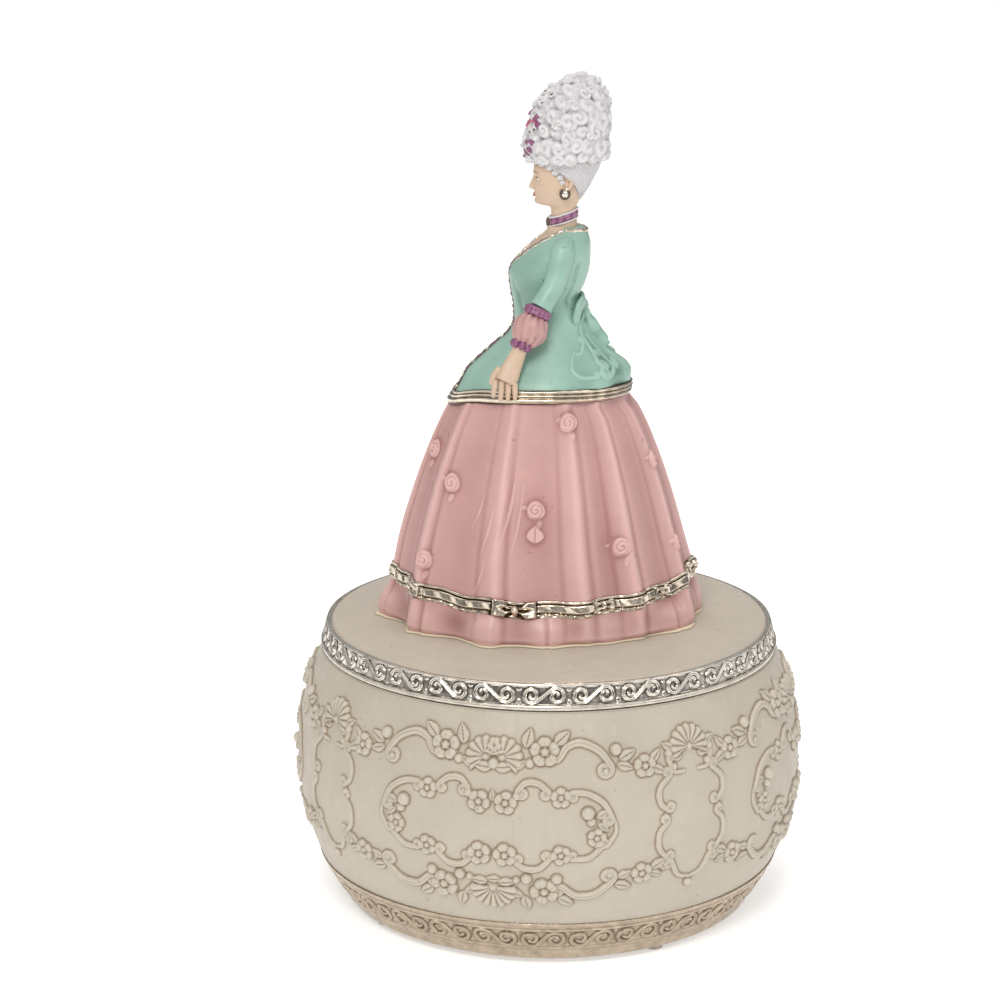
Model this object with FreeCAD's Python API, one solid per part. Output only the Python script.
"""A musical jewellery box: a barrel-shaped case, a lift-off lid with a standing lady in court dress,
a lined tray, and a wind-up comb movement whose spindle slowly turns the lid.

Millimetres. +Z is up, the origin is on the table under the case's axis, and the lady looks towards -Y.
The movement's winding arbor and output spindle share the Z axis; its cylinder lies along +X.
"""

import FreeCAD, Part

import math
import os

V = FreeCAD.Vector
X = V(1, 0, 0)
Y = V(0, 1, 0)
Z = V(0, 0, 1)

# ---- case and lid ---------------------------------------------------------------------------------
FOOT_PAD = 1.0            # felt pad thickness; the case stands this far above the table
FOOT_R = 48.5             # outer radius of the foot band at its lower edge
FOOT_TOP_R = 53.4         # outer radius of the foot band at its upper edge
FOOT_TOP_Z = 11.5
BAND_T = 2.0              # thickness of the foot band
BELLY_R = 58.6            # widest radius of the barrel
BELLY_Z = 36.0
MOUTH_R = 52.6            # outer radius of the barrel at its rim
RIM_Z = 61.0
BOTTOM_BORE_R = 42.0      # opening in the foot, where fingers reach the key
WORKS_BORE_R = 44.0       # room round the movement
TRAY_BORE_R = 46.5        # room for the tray
LEDGE_Z = 37.5            # shoulder that carries the tray
COVER_Z = 11.5            # underside of the bottom cover
COVER_T = 2.0
BOSS_R = 3.6
BOSS_AT_R = 38.0
BOSS_TOP_Z = 27.0
BOSS_ANGLES = (60.0, 180.0, 300.0)
PAD_R = 2.1
PAD_AT_R = 44.2
PAD_COUNT = 4

LID_GAP = 0.4             # running gap between the rim and the turning lid
LID_Z = RIM_Z + LID_GAP
LID_TOP_Z = 67.2
LID_R = 50.6              # cream disc, inside the silver band
LID_BAND_R = 52.9         # silver band at its lower edge
LID_BAND_TOP_R = 51.5
LID_BAND_TOP_Z = 66.8
LIP_H = 0.9               # plain lip under the lid's band
SPIGOT_R = 45.5
SPIGOT_T = 3.0
SPIGOT_Z = 58.6

TRAY_R = 46.2
TRAY_T = 1.2
TRAY_TOP_Z = 57.5
SLEEVE_R = 2.8            # bore of the tray's centre tube
SLEEVE_T = 1.0
SLEEVE_TOP_Z = 50.0

# ---- movement -------------------------------------------------------------------------------------
PLATE_Z = COVER_Z + COVER_T
PLATE_T = 2.0
DECK_Z = PLATE_Z + PLATE_T
PLATE_LIMIT_R = 42.5
PLATE_BOX = (-14.5, 36.6, -22.5, 22.5)
CUP_R = 13.0
CUP_T = 0.8
CUP_TOP_Z = 23.0
ARBOR_R = 1.6
ARBOR_CORE_R = 3.0
STUB_R = 1.5
STUB_Z = 5.0
RUN = 0.08                # radial running clearance

CROWN_TEETH = 36
CROWN_R = 10.5
CROWN_MODULE = 2 * CROWN_R / CROWN_TEETH
CROWN_Z = 23.4
CROWN_DISC_T = 1.4
CROWN_TOOTH_H = 1.3
CROWN_OUT_R = 12.1
CROWN_IN_R = 9.1
DRIVE_TEETH = 12
DRIVE_R = CROWN_MODULE * DRIVE_TEETH / 2
PITCH_Z = CROWN_Z + CROWN_DISC_T + 0.75
AXIS_Z = PITCH_Z + DRIVE_R       # height of the cylinder's axis

CYL_R = 6.5
CYL_X0 = 15.2
CYL_X1 = 31.8
PIN_R = 0.22
PIN_H = 0.55
TRACKS = 18
TRACK_PITCH = 0.88
PINS_PER_TRACK = 5
CYL_ARBOR_R = 0.9

TRAIN_MODULE = 0.34
CYL_WHEEL_TEETH = 48
PINION_TEETH = 8
WHEEL_TEETH = 32
WORM_WHEEL_TEETH = 20
WORM_MODULE = 0.36
WORM_R = 1.5
FIRST_ANGLE = 200.0       # direction from the cylinder's axis to the first governor arbor
SECOND_ANGLE = 140.0      # direction from the first governor arbor to the second
TRAIN_ARBOR_R = 0.45
WORM_X = 32.1
FAN_R = 4.2
FAN_Z = (18.6, 24.6)

COMB_TIP_Y = CYL_R + PIN_H + 0.2
COMB_ROOT_Y = (17.0, 13.6)        # roots of the longest and the shortest tooth
COMB_HEEL_Y = 22.2
COMB_T = 1.0
COMB_SLOT = 0.26
LEDGE_Y = 17.4

SPINDLE_R = 2.0
SPINDLE_Z = 28.4
FLANGE_R = 4.6
FLANGE_Z = (52.0, 53.0)
HEAD_SQUARE = 3.6
HEAD_Z = 58.4
SOCKET_SQUARE = 3.8
BRIDGE_Z = 30.2
BRIDGE_T = 1.4

# ---- figure ---------------------------------------------------------------------------------------
# The figure is built facing -Y about her own upright axis, then turned and set down on the lid.
FACING = 15.0             # how far she is turned towards +X, in degrees
STAND = V(-3.0, -0.64, 0)
FOLDS = 14                # folds round the skirt
# height, middle in Y, half depth in Y, half width in X, depth of the folds as a share of the radius
SKIRT = (
    (LID_TOP_Z, -2.0, 37.0, 28.6, 0.020),
    (80.6, -1.7, 35.1, 27.1, 0.018),
    (93.8, -1.8, 31.0, 24.8, 0.015),
    (106.9, -1.6, 26.4, 21.4, 0.012),
    (120.1, -1.7, 21.0, 17.4, 0.008),
)
JACKET = (
    (120.1, -1.7, 20.0, 16.7),
    (124.0, -0.6, 18.8, 15.7),
    (127.9, 0.2, 16.0, 13.2),
    (131.7, 0.0, 11.8, 10.3),
    (135.6, -0.1, 8.5, 7.9),
    (139.5, -0.7, 7.3, 6.8),
    (143.3, -1.0, 7.5, 6.9),
    (147.2, -0.5, 8.5, 8.0),
    (151.1, 1.0, 7.9, 8.7),
    (154.4, 2.8, 6.1, 7.9),
    (157.1, 3.7, 4.3, 5.3),
    (158.8, 3.2, 3.3, 3.5),
)
NECK_R = 2.8
NECK_TOP_Z = 165.0
HEAD = (1.4, 168.8, 5.3, 6.1)      # middle in Y, height, half width, half height
HAIR_Y = 4.2
# radius and height up the dressed hair
HAIR = ((4.1, 165.9), (6.3, 169.3), (7.4, 173.6), (8.7, 178.4), (8.8, 183.6), (7.1, 188.8), (3.5, 192.4))
SHOULDER = V(8.3, 2.2, 153.7)
ELBOW = V(11.8, -3.0, 142.0)
PUFF = V(13.0, -5.0, 136.8)
PUFF_R = 3.9
WRIST = V(14.0, -7.3, 133.1)
HAND_TIP = V(15.4, -11.5, 124.9)
RIGHT_ARM_SWING = 0.2     # how far her right arm hangs further back, per length below the shoulder
BOW_Y = 8.0
BOW_Z = 138.8


# ---- small helpers --------------------------------------------------------------------------------
def cylinder(r, z0, z1, x=0.0, y=0.0):
    return Part.makeCylinder(r, z1 - z0, V(x, y, z0), Z)


def along_x(r, x0, x1, y, z):
    return Part.makeCylinder(r, x1 - x0, V(x0, y, z), X)


def box(x0, x1, y0, y1, z0, z1):
    return Part.makeBox(x1 - x0, y1 - y0, z1 - z0, V(x0, y0, z0))


def ring(r_in, r_out, z0, z1, x=0.0, y=0.0):
    return cylinder(r_out, z0, z1, x, y).cut(cylinder(r_in, z0, z1, x, y))


def polar(r, degrees):
    a = math.radians(degrees)
    return r * math.cos(a), r * math.sin(a)


def line(a, b):
    return Part.LineSegment(a, b).toShape()


def arc(a, through, b):
    return Part.Arc(a, through, b).toShape()


def polygon_face(points):
    return Part.Face(Part.makePolygon(list(points) + [points[0]]))


def revolve(points):
    """A solid of revolution about Z from a closed outline of (radius, height)."""
    return polygon_face([V(r, 0, z) for r, z in points]).revolve(V(0, 0, 0), Z, 360)


def section(z, y, half_y, half_x, fold=0.0):
    """A smooth closed outline round the figure at one height: an ellipse with folds this deep."""
    steps = 6 * FOLDS if fold else 12
    points = []
    for k in range(steps):
        a = 2 * math.pi * k / steps
        s = 1 + fold * math.cos(FOLDS * a)
        points.append(V(s * half_x * math.cos(a), y + s * half_y * math.sin(a), z))
    curve = Part.BSplineCurve()
    curve.interpolate(Points=points, PeriodicFlag=True)
    return Part.Wire(curve.toShape())


def save(name, *shapes):
    solids = [s for shape in shapes for s in shape.Solids]
    made = solids[0] if len(solids) == 1 else Part.makeCompound(solids)
    made.exportStep("parts/" + name + ".step")


def screw(x, y, z_seat, length, head_r=1.9, head_h=1.1, shank_r=0.9, up=True):
    """A pan-head screw with a slot; its head's underside is at z_seat and its shank points up or down."""
    s = 1 if up else -1
    head = Part.makeCylinder(head_r, head_h, V(x, y, z_seat), Z * -s)
    slot_h = head_h * 0.5
    low = z_seat - s * head_h
    slot = box(x - head_r, x + head_r, y - 0.25, y + 0.25, min(low, low + s * slot_h), max(low, low + s * slot_h))
    shank = Part.makeCylinder(shank_r, length, V(x, y, z_seat), Z * s)
    return head.cut(slot).fuse(shank).removeSplitter()


# ---- case -----------------------------------------------------------------------------------------
def case_barrel():
    bottom = FOOT_PAD
    foot_in = FOOT_R - BAND_T
    foot_in_top = FOOT_TOP_R - BAND_T
    outline = [
        line(V(BOTTOM_BORE_R, 0, bottom), V(foot_in, 0, bottom)),
        line(V(foot_in, 0, bottom), V(foot_in_top, 0, FOOT_TOP_Z)),
        line(V(foot_in_top, 0, FOOT_TOP_Z), V(FOOT_TOP_R, 0, FOOT_TOP_Z)),
        arc(V(FOOT_TOP_R, 0, FOOT_TOP_Z), V(BELLY_R, 0, BELLY_Z), V(MOUTH_R, 0, RIM_Z)),
        line(V(MOUTH_R, 0, RIM_Z), V(TRAY_BORE_R, 0, RIM_Z)),
        line(V(TRAY_BORE_R, 0, RIM_Z), V(TRAY_BORE_R, 0, LEDGE_Z)),
        line(V(TRAY_BORE_R, 0, LEDGE_Z), V(WORKS_BORE_R, 0, LEDGE_Z)),
        line(V(WORKS_BORE_R, 0, LEDGE_Z), V(WORKS_BORE_R, 0, PLATE_Z)),
        line(V(WORKS_BORE_R, 0, PLATE_Z), V(BOTTOM_BORE_R, 0, PLATE_Z)),
        line(V(BOTTOM_BORE_R, 0, PLATE_Z), V(BOTTOM_BORE_R, 0, bottom)),
    ]
    shell = Part.Face(Part.Wire(outline)).revolve(V(0, 0, 0), Z, 360)
    room = cylinder(WORKS_BORE_R + 1, PLATE_Z, BOSS_TOP_Z)
    for angle in BOSS_ANGLES:
        x, y = polar(BOSS_AT_R, angle)
        web = box(0, WORKS_BORE_R + 1 - BOSS_AT_R, -BOSS_R, BOSS_R, PLATE_Z, BOSS_TOP_Z)
        web.rotate(V(0, 0, 0), Z, angle)
        web.translate(V(x, y, 0))
        boss = cylinder(BOSS_R, PLATE_Z, BOSS_TOP_Z, x, y).fuse(web).common(room)
        shell = shell.fuse(boss)
    for angle in BOSS_ANGLES:
        x, y = polar(BOSS_AT_R, angle)
        shell = shell.cut(cylinder(1.0, PLATE_Z, BOSS_TOP_Z - 3, x, y))
    return shell.removeSplitter()


def foot_band():
    return revolve([
        (FOOT_R - BAND_T, FOOT_PAD), (FOOT_R, FOOT_PAD),
        (FOOT_TOP_R, FOOT_TOP_Z), (FOOT_TOP_R - BAND_T, FOOT_TOP_Z),
    ])


def felt_pads():
    pads = []
    for k in range(PAD_COUNT):
        x, y = polar(PAD_AT_R, 45 + 360 / PAD_COUNT * k)
        pads.append(cylinder(PAD_R, 0, FOOT_PAD, x, y))
    return pads


MOUNT_SCREWS = ((-9.0, 17.0), (-9.0, -17.0), (21.5, -14.5))


def bottom_cover():
    cover = cylinder(BOTTOM_BORE_R - 0.25, COVER_Z, PLATE_Z).cut(cylinder(4.5, COVER_Z, PLATE_Z))
    for x, y in [polar(BOSS_AT_R, a) for a in BOSS_ANGLES] + list(MOUNT_SCREWS):
        cover = cover.cut(cylinder(1.0, COVER_Z, PLATE_Z, x, y))
    return cover


def tray():
    cup = ring(TRAY_R - TRAY_T, TRAY_R, LEDGE_Z, TRAY_TOP_Z)
    floor = ring(SLEEVE_R, TRAY_R, LEDGE_Z, LEDGE_Z + TRAY_T)
    sleeve = ring(SLEEVE_R, SLEEVE_R + SLEEVE_T, LEDGE_Z, SLEEVE_TOP_Z)
    return cup.fuse(floor).fuse(sleeve).removeSplitter()


# ---- lid ------------------------------------------------------------------------------------------
def lid_plate():
    plate = revolve([
        (0, LID_Z), (SPIGOT_R - SPIGOT_T, LID_Z), (SPIGOT_R - SPIGOT_T, SPIGOT_Z), (SPIGOT_R, SPIGOT_Z),
        (SPIGOT_R, LID_Z), (LID_R, LID_Z), (LID_R, LID_TOP_Z - 0.4), (LID_R - 0.4, LID_TOP_Z), (0, LID_TOP_Z),
    ])
    for x, y in socket_screw_places():
        plate = plate.cut(cylinder(0.95, LID_Z, LID_Z + 3.2, x, y))
    return plate


def lid_band():
    return revolve([
        (LID_R, LID_Z), (LID_BAND_R, LID_Z), (LID_BAND_R, LID_Z + LIP_H),
        (LID_BAND_R - 0.5, LID_Z + LIP_H + 0.3), (LID_BAND_TOP_R, LID_BAND_TOP_Z), (LID_R, LID_BAND_TOP_Z),
    ])


SOCKET_FLANGE_T = 1.5


def socket_screw_places():
    return [polar(8.6, a) for a in (90, 210, 330)]


def lid_socket():
    socket = cylinder(6.0, FLANGE_Z[1], LID_Z).fuse(cylinder(11.0, LID_Z - SOCKET_FLANGE_T, LID_Z))
    half = SOCKET_SQUARE / 2
    socket = socket.cut(box(-half, half, -half, half, FLANGE_Z[1], HEAD_Z + 0.6))
    for x, y in socket_screw_places():
        socket = socket.cut(cylinder(0.95, LID_Z - SOCKET_FLANGE_T, LID_Z, x, y))
    return socket.removeSplitter()


def socket_screws():
    return [screw(x, y, LID_Z - SOCKET_FLANGE_T, 4.4) for x, y in socket_screw_places()]


# ---- figure ---------------------------------------------------------------------------------------
def on_lid(shape):
    """Turn a piece of the figure to the way she faces and set it down on the lid."""
    placed = shape.copy()
    placed.rotate(V(0, 0, 0), Z, FACING)
    placed.translate(STAND)
    return placed


def loft(sections):
    return Part.makeLoft([section(*s) for s in sections], True, False)


def head():
    y, z, half_x, half_z = HEAD
    low, high = V(0, 0, -half_z), V(0, 0, half_z)
    ellipse = Part.Ellipse(high, V(half_x, 0, 0), V(0, 0, 0))
    side = ellipse.toShape().cut(box(-2 * half_z, 0, -1, 1, -2 * half_z, 2 * half_z)).Edges
    face = Part.Face(Part.Wire(Part.__sortEdges__(side + [line(high, low)])))
    skull = face.revolve(V(0, 0, 0), Z, 360)
    skull.translate(V(0, y, z))
    neck_z = JACKET[-1][0]
    neck = Part.makeCylinder(NECK_R, NECK_TOP_Z - neck_z, V(0, JACKET[-1][1] - 0.3, neck_z), Z)
    return skull.fuse(neck).removeSplitter()


def hair(inside):
    """The high-dressed hair: a smooth mass of revolution that leans back off the head."""
    curve = Part.BSplineCurve()
    curve.interpolate([V(r, 0, z) for r, z in HAIR])
    low, high = HAIR[0][1], HAIR[-1][1]
    outline = [line(V(0, 0, low), V(HAIR[0][0], 0, low)), curve.toShape()]
    outline += [line(V(HAIR[-1][0], 0, high), V(0, 0, high)), line(V(0, 0, high), V(0, 0, low))]
    mass = Part.Face(Part.Wire(outline)).revolve(V(0, 0, 0), Z, 360)
    mass.translate(V(0, HAIR_Y, 0))
    return mass.cut(inside)


def tapered(a, b, r0, r1):
    return Part.makeCone(r0, r1, (b - a).Length, a, b - a)


def arm(side, around):
    """One arm: sleeve, puffed undersleeve, forearm and hand. side is 1 for her left and -1 for her right."""
    swing = RIGHT_ARM_SWING if side < 0 else 0.0

    def at(p):
        return V(side * p.x, p.y + swing * (SHOULDER.z - p.z), p.z)

    sleeve = tapered(at(SHOULDER), at(ELBOW), 3.3, 2.7).fuse(Part.makeSphere(3.3, at(SHOULDER)))
    puff = Part.makeSphere(PUFF_R, at(PUFF))
    fore = tapered(at(PUFF), at(WRIST), 2.6, 2.1)
    hand = tapered(at(WRIST), at(HAND_TIP), 2.1, 1.5)
    joint = Part.makeSphere(2.7, at(ELBOW))
    limb = sleeve.fuse(joint).fuse(tapered(at(ELBOW), at(PUFF), 2.7, 2.6)).fuse(puff).fuse(fore).fuse(hand)
    limb = limb.fuse(Part.makeSphere(2.1, at(WRIST)))
    for solid in around:
        limb = limb.cut(solid)
    return max(limb.Solids, key=lambda s: s.Volume)


def back_bow(jacket):
    """The bow at the back of the waist: two loops, a knot and two tails that lie on the jacket's skirt."""
    x, y, z = 0.0, BOW_Y, BOW_Z
    made = Part.makeSphere(1.5, V(x, y + 0.2, z))
    for s in (-1, 1):
        loop = Part.makeSphere(2.3, V(x + s * 3.6, y - 0.2, z + 0.5))
        made = made.fuse(loop).fuse(tapered(V(x, y, z), V(x + s * 3.6, y - 0.2, z + 0.5), 1.0, 2.2))
        tail_end = V(x + s * 3.4, y + 5.2, z - 9.0)
        made = made.fuse(tapered(V(x + s * 0.5, y, z), tail_end, 1.1, 1.5))
    back = jacket.common(box(-40, 40, 0, 40, z - 20, z + 20))
    return max(made.cut(back).Solids, key=lambda part: part.Volume)


# ---- movement: fixed parts ------------------------------------------------------------------------
BRIDGE_SCREW_Y = 18.0
INNER_BRACKET_X = (13.4, 14.4)
OUTER_BRACKET_X = (33.6, 34.4)
INNER_SCREW_X = 18.0
OUTER_SCREW_X = 27.4
COMB_SCREW_X = (17.5, 23.5, 29.5)
COMB_SCREW_Y = 20.2
GOV_IN_X = (29.4, 30.0)
GOV_OUT_X = (35.2, 35.8)
GOV_SCREW = (27.5, -10.4)
FOOT_T = 1.2


def train_places():
    """(y, z) of the first and second governor arbors, and y of the worm."""
    d1 = TRAIN_MODULE * (CYL_WHEEL_TEETH + PINION_TEETH) / 2
    d2 = TRAIN_MODULE * (WHEEL_TEETH + PINION_TEETH) / 2
    y1, z1 = polar(d1, FIRST_ANGLE)
    first = (y1, AXIS_Z + z1)
    y2, z2 = polar(d2, SECOND_ANGLE)
    second = (first[0] + y2, first[1] + z2)
    worm_y = second[0] - WORM_R - WORM_MODULE * WORM_WHEEL_TEETH / 2
    return first, second, worm_y


def bedplate():
    x0, x1, y0, y1 = PLATE_BOX
    plate = box(x0, x1, y0, y1, PLATE_Z, DECK_Z).common(cylinder(PLATE_LIMIT_R, PLATE_Z, DECK_Z))
    ledge_x = (13.6, 33.4)
    plate = plate.fuse(box(*ledge_x, LEDGE_Y, COMB_HEEL_Y, PLATE_Z, AXIS_Z - COMB_T / 2))
    for x, y in MOUNT_SCREWS:
        plate = plate.fuse(cylinder(2.4, PLATE_Z, DECK_Z + 3.0, x, y))
    worm_y = train_places()[2]
    plate = plate.fuse(cylinder(1.4, PLATE_Z, DECK_Z + 1.6, WORM_X, worm_y))
    plate = plate.cut(cylinder(ARBOR_R + RUN, PLATE_Z, DECK_Z))
    plate = plate.cut(cylinder(TRAIN_ARBOR_R + RUN, DECK_Z, DECK_Z + 1.6, WORM_X, worm_y))
    for x, y in MOUNT_SCREWS:
        plate = plate.cut(cylinder(0.95, PLATE_Z, DECK_Z + 2.4, x, y))
    for x in COMB_SCREW_X:
        plate = plate.cut(cylinder(0.85, AXIS_Z - 5.5, AXIS_Z, x, COMB_SCREW_Y))
    small = [(0, BRIDGE_SCREW_Y), (0, -BRIDGE_SCREW_Y), (INNER_SCREW_X, 0), (OUTER_SCREW_X, 0), GOV_SCREW]
    for x, y in small:
        plate = plate.cut(cylinder(0.75, PLATE_Z, DECK_Z, x, y))
    return plate.removeSplitter()


def spring_cup():
    cup = cylinder(CUP_R, DECK_Z, CUP_TOP_Z).cut(cylinder(CUP_R - CUP_T, DECK_Z, CUP_TOP_Z - CUP_T))
    return cup.cut(cylinder(ARBOR_R + RUN, CUP_TOP_Z - CUP_T, CUP_TOP_Z))


def mainspring():
    """A flat spiral of half circles, wound between the arbor's core and the cup's wall."""
    thick, pitch, turns = 0.3, 0.66, 12.5
    inner_r = ARBOR_CORE_R + 0.55
    outer, inner = [], []
    count = int(turns * 2)
    for k in range(count):
        s = 1 if k % 2 == 0 else -1
        centre = V(s * pitch / 4, 0, 0)
        r = inner_r + k * pitch / 2
        for edges, radius in ((outer, r + thick / 2), (inner, r - thick / 2)):
            start = centre + X * (-s * radius)
            end = centre + X * (s * radius)
            edges.append(arc(start, centre + Y * (s * radius), end))
    ends = []
    for k in (0, -1):
        a = outer[k].Vertexes[0 if k == 0 else -1].Point
        b = inner[k].Vertexes[0 if k == 0 else -1].Point
        ends.append(line(a, b))
    wire = Part.Wire(Part.__sortEdges__(outer + inner + ends))
    strip = Part.Face(wire).extrude(Z * 5.2)
    strip.translate(V(0, 0, DECK_Z + 0.9))
    return strip


def bridge():
    top = box(-3.5, 3.5, -16.2, 16.2, BRIDGE_Z, BRIDGE_Z + BRIDGE_T)
    made = top
    for s in (-1, 1):
        y0, y1 = sorted((s * 14.4, s * 16.2))
        made = made.fuse(box(-3.5, 3.5, y0, y1, DECK_Z, BRIDGE_Z))
        y0, y1 = sorted((s * 16.2, s * 20.2))
        made = made.fuse(box(-3.5, 3.5, y0, y1, DECK_Z, DECK_Z + FOOT_T))
        made = made.cut(cylinder(0.8, DECK_Z, DECK_Z + FOOT_T, 0, s * BRIDGE_SCREW_Y))
    bush = cylinder(3.4, BRIDGE_Z, BRIDGE_Z + 3.0)
    made = made.fuse(bush).cut(cylinder(SPINDLE_R + RUN, BRIDGE_Z, BRIDGE_Z + 3.0))
    return made.removeSplitter()


def cylinder_bracket(x_range, foot_x, screw_x, half_y):
    post = box(*x_range, -half_y, half_y, DECK_Z, AXIS_Z + 2.4)
    foot = box(*foot_x, -half_y, half_y, DECK_Z, DECK_Z + FOOT_T)
    made = post.fuse(foot).cut(along_x(CYL_ARBOR_R + RUN, *x_range, 0, AXIS_Z))
    return made.cut(cylinder(0.8, DECK_Z, DECK_Z + FOOT_T, screw_x, 0)).removeSplitter()


def comb():
    """A steel comb: tuned teeth that shorten towards the treble end, on a screwed heel."""
    x_first = CYL_X0 + 0.8 - TRACK_PITCH / 2
    points = []
    for k in range(TRACKS):
        x0 = x_first + k * TRACK_PITCH + COMB_SLOT / 2
        x1 = x_first + (k + 1) * TRACK_PITCH - COMB_SLOT / 2
        share = k / (TRACKS - 1)
        root = COMB_ROOT_Y[0] + (COMB_ROOT_Y[1] - COMB_ROOT_Y[0]) * share
        points += [(x0, root), (x0, COMB_TIP_Y), (x1, COMB_TIP_Y), (x1, root)]
    x_end = points[-1][0] + 2.2
    x_start = points[0][0] - 2.0
    points += [(x_end, COMB_ROOT_Y[1]), (x_end, COMB_HEEL_Y), (x_start, COMB_HEEL_Y), (x_start, COMB_ROOT_Y[0])]
    low = AXIS_Z - COMB_T / 2
    plate = polygon_face([V(x, y, low) for x, y in points]).extrude(Z * COMB_T)
    for x in COMB_SCREW_X:
        plate = plate.cut(cylinder(0.9, low, low + COMB_T, x, COMB_SCREW_Y))
    return plate


def governor_bracket():
    first, second, worm_y = train_places()
    low, mid, high = DECK_Z, FAN_Z[1] + 1.0, AXIS_Z + 5.0
    outline = [
        (-7.7, low), (-7.7, high), (worm_y - 2.2, high), (worm_y - 2.2, high - 1.0), (second[0] - 1.6, high - 1.0),
        (second[0] - 1.6, mid), (-12.8, mid), (-12.8, low),
    ]
    made = None
    for x0, x1 in (GOV_IN_X, GOV_OUT_X):
        plate = polygon_face([V(x0, y, z) for y, z in outline]).extrude(X * (x1 - x0))
        made = plate if made is None else made.fuse(plate)
    made = made.fuse(box(GOV_IN_X[0], GOV_OUT_X[1], worm_y - 2.2, worm_y + 2.2, high - 1.0, high))
    made = made.fuse(box(25.6, GOV_IN_X[0], -12.8, -7.7, low, low + FOOT_T))
    made = made.fuse(box(GOV_IN_X[0], GOV_OUT_X[1], -12.8, -7.7, low, low + FOOT_T))
    for y, z in (first, second):
        made = made.cut(along_x(TRAIN_ARBOR_R + RUN, GOV_IN_X[0], GOV_OUT_X[1], y, z))
    made = made.cut(cylinder(TRAIN_ARBOR_R + RUN, high - 1.0, high, WORM_X, worm_y))
    made = made.cut(cylinder(0.8, low, low + FOOT_T, *GOV_SCREW))
    return made.removeSplitter()


# ---- movement: turning parts ----------------------------------------------------------------------
def gear_face(teeth, module, x, y, z, phase, thick=0.42, addendum=0.85, dedendum=1.25):
    """A gear outline in the plane across X, centred at (y, z), with one tooth at phase degrees."""
    pitch_r = module * teeth / 2
    root_r = pitch_r - dedendum * module
    tip_r = pitch_r + addendum * module
    step = 2 * math.pi / teeth
    widths = ((root_r, thick * 1.25), (pitch_r, thick), (tip_r, thick * 0.55))
    points = []
    for k in range(teeth):
        centre = math.radians(phase) + k * step
        flank = [(r, w * step / 2 * pitch_r / r) for r, w in widths]
        for r, half in flank:
            points.append((r, centre - half))
        for r, half in reversed(flank):
            points.append((r, centre + half))
    return polygon_face([V(x, y + r * math.cos(a), z + r * math.sin(a)) for r, a in points])


def spur(teeth, module, x0, x1, y, z, phase, bore):
    wheel = gear_face(teeth, module, x0, y, z, phase).extrude(X * (x1 - x0))
    return wheel.cut(along_x(bore, x0, x1, y, z)) if bore else wheel


def great_wheel():
    top = CROWN_Z + CROWN_DISC_T
    disc = cylinder(CROWN_OUT_R, CROWN_Z, top)
    hub = cylinder(3.6, top, SPINDLE_Z)
    step = 360 / CROWN_TEETH
    root, tip = 0.44, 0.26
    wheel = disc.fuse(hub)
    teeth = []
    for k in range(CROWN_TEETH):
        pitch_at = 2 * math.pi * CROWN_IN_R / CROWN_TEETH
        outline = [
            V(CROWN_IN_R, -root * pitch_at, top), V(CROWN_IN_R, root * pitch_at, top),
            V(CROWN_IN_R, tip * pitch_at, top + CROWN_TOOTH_H), V(CROWN_IN_R, -tip * pitch_at, top + CROWN_TOOTH_H),
        ]
        tooth = polygon_face([V(p.x, p.y * 0.5, p.z) for p in outline]).extrude(X * (CROWN_OUT_R - 0.1 - CROWN_IN_R))
        tooth.rotate(V(0, 0, 0), Z, k * step)
        teeth.append(tooth)
    wheel = wheel.multiFuse(teeth)
    wheel = wheel.cut(cylinder(2.6, CROWN_Z, CROWN_Z + 2.6))
    return wheel.cut(cylinder(ARBOR_R + RUN, CROWN_Z, CROWN_Z + 3.4)).removeSplitter()


def clutch_spring():
    """A wrap spring between the arbor and the great wheel's hub: it grips one way and slips the other."""
    wire_r, mean_r, turns = 0.17, 2.3, 4
    rings = []
    for k in range(turns):
        z = CROWN_Z + 0.3 + k * 0.52
        rings.append(Part.makeTorus(mean_r, wire_r, V(0, 0, z), Z))
    return rings


def spindle():
    shaft = cylinder(SPINDLE_R, SPINDLE_Z, FLANGE_Z[0]).fuse(cylinder(FLANGE_R, *FLANGE_Z))
    half = HEAD_SQUARE / 2
    return shaft.fuse(box(-half, half, -half, half, FLANGE_Z[1], HEAD_Z)).removeSplitter()


def winding_arbor():
    stub = cylinder(STUB_R, STUB_Z, PLATE_Z)
    shaft = cylinder(ARBOR_R, PLATE_Z, CROWN_Z + 3.2)
    core = cylinder(ARBOR_CORE_R, DECK_Z + 0.5, CUP_TOP_Z - CUP_T - 0.3)
    return stub.fuse(shaft).fuse(core).removeSplitter()


def winding_key():
    """A butterfly key: two pierced wings on a threaded boss."""
    wing_t, wing_r, wing_x, wing_z = 1.6, 4.0, 8.2, 6.8
    key = cylinder(2.8, 4.2, 11.0)
    for s in (-1, 1):
        lobe = Part.makeCylinder(wing_r, wing_t, V(s * wing_x, -wing_t / 2, wing_z), Y)
        x0, x1 = sorted((s * 1.5, s * wing_x))
        arm_plate = box(x0, x1, -wing_t / 2, wing_t / 2, wing_z - 2.6, wing_z + 2.6)
        key = key.fuse(lobe).fuse(arm_plate)
    for s in (-1, 1):
        key = key.cut(Part.makeCylinder(2.1, wing_t, V(s * wing_x, -wing_t / 2, wing_z), Y))
    return key.cut(cylinder(STUB_R, STUB_Z, 11.0)).removeSplitter()


def cylinder_drum():
    return along_x(CYL_R, CYL_X0, CYL_X1, 0, AXIS_Z).cut(along_x(CYL_ARBOR_R, CYL_X0, CYL_X1, 0, AXIS_Z))


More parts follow.
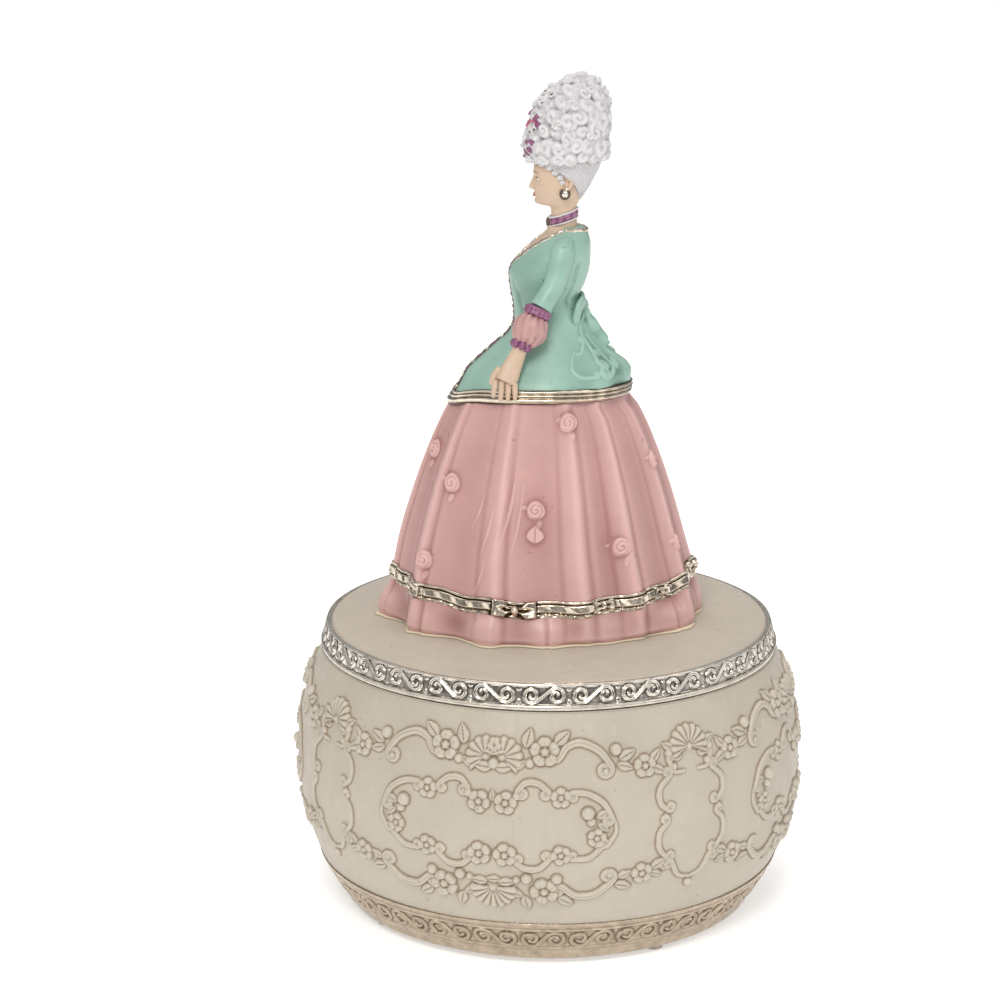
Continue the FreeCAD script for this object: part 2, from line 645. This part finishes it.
def cylinder_pins():
    """The tune's pins, spread round the drum one row per tooth."""
    golden = 137.508
    pins = []
    for track in range(TRACKS):
        x = CYL_X0 + 0.8 + track * TRACK_PITCH
        for k in range(PINS_PER_TRACK):
            turn = track * golden + k * (360 / PINS_PER_TRACK) + 9.0 * ((track * k) % 4)
            y, z = polar(1.0, turn)
            start = V(x, CYL_R * y, AXIS_Z + CYL_R * z)
            pins.append(Part.makeCylinder(PIN_R, PIN_H, start, V(0, y, z)))
    return pins


def cylinder_arbor():
    return along_x(CYL_ARBOR_R, 8.6, OUTER_BRACKET_X[1] + 0.3, 0, AXIS_Z)


def drive_pinion():
    gap_down = 270.0 + 180.0 / DRIVE_TEETH
    face = gear_face(DRIVE_TEETH, CROWN_MODULE, 9.3, 0, AXIS_Z, gap_down, thick=0.36, addendum=0.8, dedendum=1.15)
    return face.extrude(X * 2.5).cut(along_x(CYL_ARBOR_R, 9.3, 11.8, 0, AXIS_Z))


def cylinder_wheel():
    x0 = CYL_X1 + 0.2
    return spur(CYL_WHEEL_TEETH, TRAIN_MODULE, x0, x0 + 1.0, 0, AXIS_Z, FIRST_ANGLE, CYL_ARBOR_R)


def first_wheel():
    """The first governor arbor: a pinion driven by the cylinder's wheel, and a wheel that drives the next."""
    (y, z), _, _ = train_places()
    pinion = spur(PINION_TEETH, TRAIN_MODULE, 31.9, 33.1, y, z, FIRST_ANGLE + 180 + 180 / PINION_TEETH, 0)
    wheel = spur(WHEEL_TEETH, TRAIN_MODULE, 33.6, 34.4, y, z, SECOND_ANGLE, 0)
    arbor = along_x(TRAIN_ARBOR_R, GOV_IN_X[0], GOV_OUT_X[1], y, z)
    boss = along_x(0.8, 33.1, 33.6, y, z)
    return pinion.fuse(wheel).fuse(boss).fuse(arbor).removeSplitter()


def second_wheel():
    """The second governor arbor: a pinion, and the wheel that drives the worm."""
    _, (y, z), _ = train_places()
    pinion = spur(PINION_TEETH, TRAIN_MODULE, 33.5, 34.5, y, z, SECOND_ANGLE + 180 + 180 / PINION_TEETH, 0)
    face = gear_face(WORM_WHEEL_TEETH, WORM_MODULE, WORM_X - 0.35, y, z, 180.0, thick=0.34, addendum=0.8)
    wheel = face.extrude(X * 0.7)
    arbor = along_x(TRAIN_ARBOR_R, GOV_IN_X[0], GOV_OUT_X[1], y, z)
    boss = along_x(0.8, WORM_X + 0.35, 33.5, y, z)
    return pinion.fuse(wheel).fuse(boss).fuse(arbor).removeSplitter()


def worm():
    """The endless screw on its upright arbor. Its thread has a gap facing the wheel's tooth."""
    _, (_, z), worm_y = train_places()
    lead = math.pi * WORM_MODULE
    turns = 4
    root_r = WORM_R - 1.1 * WORM_MODULE
    tip_r = WORM_R + 0.75 * WORM_MODULE
    low = z - lead * turns / 2
    helix = Part.makeHelix(lead, lead * turns, root_r)
    half_root, half_tip = lead * 0.24, lead * 0.11
    start = root_r - 0.12
    profile = Part.makePolygon([
        V(start, 0, -half_root), V(tip_r, 0, -half_tip), V(tip_r, 0, half_tip),
        V(start, 0, half_root), V(start, 0, -half_root),
    ])
    thread = Part.Wire(helix.Edges).makePipeShell([profile], True, True)
    # The thread's crest passes the wheel's side, at +Y, half a lead above and below the wheel's tooth.
    thread.translate(V(0, 0, low))
    thread.rotate(V(0, 0, 0), Z, 90 + 180)
    core = cylinder(root_r, low - 0.5, low + lead * turns + 0.5)
    arbor = cylinder(TRAIN_ARBOR_R, DECK_Z + 0.1, AXIS_Z + 5.0)
    made = core.fuse(thread).fuse(arbor)
    made.translate(V(WORM_X, worm_y, 0))
    return made


def fan():
    """The air brake: two upright vanes clamped on the worm's arbor."""
    worm_y = train_places()[2]
    z0, z1 = FAN_Z
    hub = cylinder(1.1, z0, z0 + 2.0, WORM_X, worm_y)
    vanes = box(WORM_X - 0.2, WORM_X + 0.2, worm_y - FAN_R, worm_y + FAN_R, z0, z1)
    return hub.fuse(vanes).cut(cylinder(TRAIN_ARBOR_R, z0, z1, WORM_X, worm_y)).removeSplitter()


# ---- build ----------------------------------------------------------------------------------------
def main():
    os.makedirs("parts", exist_ok=True)
    save("case_barrel", case_barrel())
    save("foot_band", foot_band())
    save("felt_pads", *felt_pads())
    save("bottom_cover", bottom_cover())
    save("cover_screws", *[screw(*polar(BOSS_AT_R, a), COVER_Z, 8.0) for a in BOSS_ANGLES])
    save("movement_screws", *[screw(x, y, COVER_Z, 5.6) for x, y in MOUNT_SCREWS])
    save("jewel_tray", tray())

    save("lid_plate", lid_plate())
    save("lid_band", lid_band())
    save("lid_socket", lid_socket())
    save("socket_screws", *socket_screws())
    skirt = loft(SKIRT)
    jacket = loft(JACKET)
    head_solid = head()
    figure = {
        "figure_skirt": skirt,
        "figure_jacket": jacket,
        "figure_head": head_solid,
        "figure_hair": hair(head_solid),
        "figure_left_arm": arm(1, (jacket, skirt)),
        "figure_right_arm": arm(-1, (jacket, skirt)),
        "back_bow": back_bow(jacket),
    }
    for name, shape in figure.items():
        save(name, on_lid(shape))

    save("bedplate", bedplate())
    save("spring_cup", spring_cup())
    save("mainspring", mainspring())
    save("spindle_bridge", bridge())
    save("inner_bracket", cylinder_bracket(INNER_BRACKET_X, (INNER_BRACKET_X[1], 20.5), INNER_SCREW_X, 4.0))
    save("outer_bracket", cylinder_bracket(OUTER_BRACKET_X, (25.0, OUTER_BRACKET_X[0]), OUTER_SCREW_X, 2.4))
    save("comb", comb())
    save("comb_screws", *[screw(x, COMB_SCREW_Y, AXIS_Z + COMB_T / 2, 4.5, 1.7, 1.0, 0.8, up=False)
                          for x in COMB_SCREW_X])
    save("governor_bracket", governor_bracket())
    small = [(0, BRIDGE_SCREW_Y), (0, -BRIDGE_SCREW_Y), (INNER_SCREW_X, 0), (OUTER_SCREW_X, 0), GOV_SCREW]
    save("frame_screws", *[screw(x, y, DECK_Z + FOOT_T, FOOT_T + PLATE_T, 1.5, 0.9, 0.7, up=False)
                           for x, y in small])

    save("winding_key", winding_key())
    save("winding_arbor", winding_arbor())
    save("great_wheel", great_wheel())
    save("clutch_spring", *clutch_spring())
    save("output_spindle", spindle())
    save("cylinder_drum", cylinder_drum())
    save("cylinder_pins", *cylinder_pins())
    save("cylinder_arbor", cylinder_arbor())
    save("drive_pinion", drive_pinion())
    save("cylinder_wheel", cylinder_wheel())
    save("first_governor_wheel", first_wheel())
    save("second_governor_wheel", second_wheel())
    save("governor_worm", worm())
    save("governor_fan", fan())


main()
